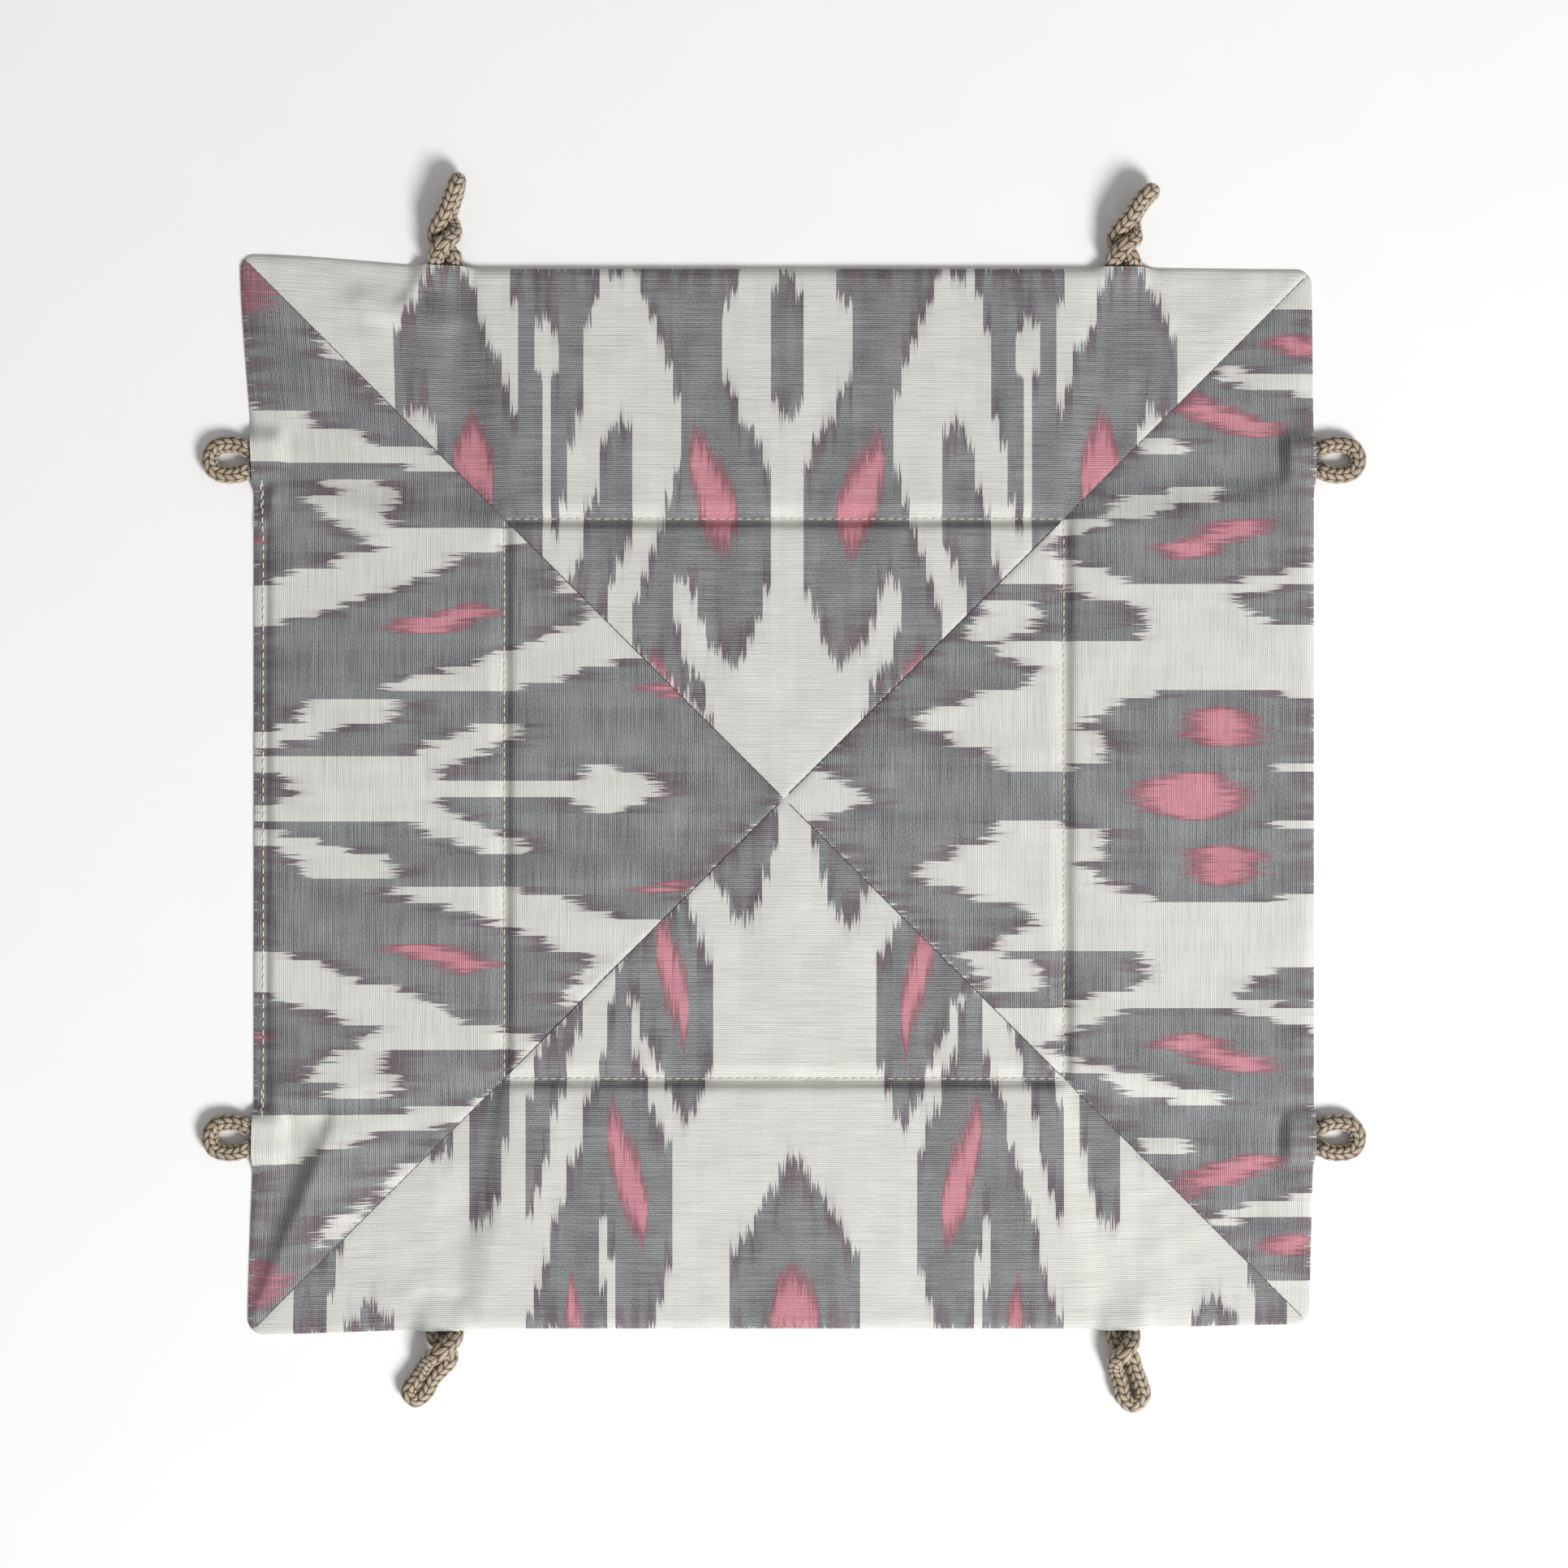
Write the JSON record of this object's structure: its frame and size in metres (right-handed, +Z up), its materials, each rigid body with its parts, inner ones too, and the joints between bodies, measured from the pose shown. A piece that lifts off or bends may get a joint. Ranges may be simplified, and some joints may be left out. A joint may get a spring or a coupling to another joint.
{
  "type": "fold-up fabric tray",
  "caption": "Cloth tray lying flat: stiffened base and sides that fold up, with corners closed by knotted cords and cord loops.",
  "frame": {"origin": "under the middle of the base, on the surface the tray lies on", "axes": "+Z up; +Y towards the north side, whose rim has knotted cords; +X towards the east side, whose rim has cord loops; the closed opening with the row of topstitching is on the west side"},
  "size_m": [0.3572, 0.3797, 0.011],
  "materials": {
    "ikat": "ribbed warp-ikat cotton, off-white ground with blue-grey, violet and coral motifs",
    "lining": "plain-weave cotton",
    "board": "grey pulp board",
    "cream_thread": "spun sewing thread",
    "dark_thread": "spun sewing thread",
    "cord": "braided cotton cord"
  },
  "bodies": {
    "root": {"base_board": "board", "base_lining": "lining", "base_ikat_north": "ikat", "base_ikat_east": "ikat", "base_ikat_south": "ikat", "base_ikat_west": "ikat", "fold_stitching_north": "cream_thread", "fold_stitching_east": "cream_thread", "fold_stitching_south": "cream_thread", "fold_stitching_west": "cream_thread", "mitre_stitching_north_east": "dark_thread", "mitre_stitching_north_west": "dark_thread", "mitre_stitching_south_west": "dark_thread", "mitre_stitching_south_east": "dark_thread"},
    "north_side": {"side_board_north": "board", "side_lining_north": "lining", "side_ikat_north": "ikat"},
    "east_side": {"side_board_east": "board", "side_lining_east": "lining", "side_ikat_east": "ikat"},
    "south_side": {"side_board_south": "board", "side_lining_south": "lining", "side_ikat_south": "ikat"},
    "west_side": {"side_board_west": "board", "side_lining_west": "lining", "side_ikat_west": "ikat", "edge_topstitching_west": "cream_thread"},
    "north_east_corner": {"corner_ikat_north_east": "ikat", "corner_lining_north_east": "lining", "knot_cord_north_east": "cord"},
    "north_west_corner": {"corner_ikat_north_west": "ikat", "corner_lining_north_west": "lining", "knot_cord_north_west": "cord"},
    "east_south_corner": {"corner_ikat_east_south": "ikat", "corner_lining_east_south": "lining", "loop_cord_east_south": "cord"},
    "east_north_corner": {"corner_ikat_east_north": "ikat", "corner_lining_east_north": "lining", "loop_cord_east_north": "cord"},
    "south_west_corner": {"corner_ikat_south_west": "ikat", "corner_lining_south_west": "lining", "knot_cord_south_west": "cord"},
    "south_east_corner": {"corner_ikat_south_east": "ikat", "corner_lining_south_east": "lining", "knot_cord_south_east": "cord"},
    "west_north_corner": {"corner_ikat_west_north": "ikat", "corner_lining_west_north": "lining", "loop_cord_west_north": "cord"},
    "west_south_corner": {"corner_ikat_west_south": "ikat", "corner_lining_west_south": "lining", "loop_cord_west_south": "cord"}
  },
  "joints": [
    {"name": "north_fold", "type": "hinge", "parent": "root", "child": "north_side", "pos_m": [0, 0.086, 0.0013], "axis": [1, 0, 0], "range_deg": [0, 72]},
    {"name": "east_fold", "type": "hinge", "parent": "root", "child": "east_side", "pos_m": [0.086, 0, 0.0013], "axis": [0, -1, 0], "range_deg": [0, 72]},
    {"name": "south_fold", "type": "hinge", "parent": "root", "child": "south_side", "pos_m": [0, -0.086, 0.0013], "axis": [-1, 0, 0], "range_deg": [0, 72]},
    {"name": "west_fold", "type": "hinge", "parent": "root", "child": "west_side", "pos_m": [-0.086, 0, 0.0013], "axis": [0, 1, 0], "range_deg": [0, 72]},
    {"name": "north_east_corner_crease", "type": "hinge", "parent": "north_side", "child": "north_east_corner", "pos_m": [0.086, 0.086, 0.0013], "axis": [0.154, 0.9881, 0], "range_deg": [0, 39]},
    {"name": "north_west_corner_crease", "type": "hinge", "parent": "north_side", "child": "north_west_corner", "pos_m": [-0.086, 0.086, 0.0013], "axis": [0.154, -0.9881, 0], "range_deg": [0, 39]},
    {"name": "east_south_corner_crease", "type": "hinge", "parent": "east_side", "child": "east_south_corner", "pos_m": [0.086, -0.086, 0.0013], "axis": [0.9881, -0.154, 0], "range_deg": [0, 39]},
    {"name": "east_north_corner_crease", "type": "hinge", "parent": "east_side", "child": "east_north_corner", "pos_m": [0.086, 0.086, 0.0013], "axis": [-0.9881, -0.154, 0], "range_deg": [0, 39]},
    {"name": "south_west_corner_crease", "type": "hinge", "parent": "south_side", "child": "south_west_corner", "pos_m": [-0.086, -0.086, 0.0013], "axis": [-0.154, -0.9881, 0], "range_deg": [0, 39]},
    {"name": "south_east_corner_crease", "type": "hinge", "parent": "south_side", "child": "south_east_corner", "pos_m": [0.086, -0.086, 0.0013], "axis": [-0.154, 0.9881, 0], "range_deg": [0, 39]},
    {"name": "west_north_corner_crease", "type": "hinge", "parent": "west_side", "child": "west_north_corner", "pos_m": [-0.086, 0.086, 0.0013], "axis": [-0.9881, 0.154, 0], "range_deg": [0, 39]},
    {"name": "west_south_corner_crease", "type": "hinge", "parent": "west_side", "child": "west_south_corner", "pos_m": [-0.086, -0.086, 0.0013], "axis": [0.9881, 0.154, 0], "range_deg": [0, 39]}
  ],
  "couplings": [
    {"joint": "east_fold", "follows": "north_fold", "ratio": 1},
    {"joint": "south_fold", "follows": "north_fold", "ratio": 1},
    {"joint": "west_fold", "follows": "north_fold", "ratio": 1},
    {"joint": "north_east_corner_crease", "follows": "north_fold", "ratio": 0.5412},
    {"joint": "north_west_corner_crease", "follows": "north_fold", "ratio": 0.5412},
    {"joint": "east_south_corner_crease", "follows": "north_fold", "ratio": 0.5412},
    {"joint": "east_north_corner_crease", "follows": "north_fold", "ratio": 0.5412},
    {"joint": "south_west_corner_crease", "follows": "north_fold", "ratio": 0.5412},
    {"joint": "south_east_corner_crease", "follows": "north_fold", "ratio": 0.5412},
    {"joint": "west_north_corner_crease", "follows": "north_fold", "ratio": 0.5412},
    {"joint": "west_south_corner_crease", "follows": "north_fold", "ratio": 0.5412}
  ]
}
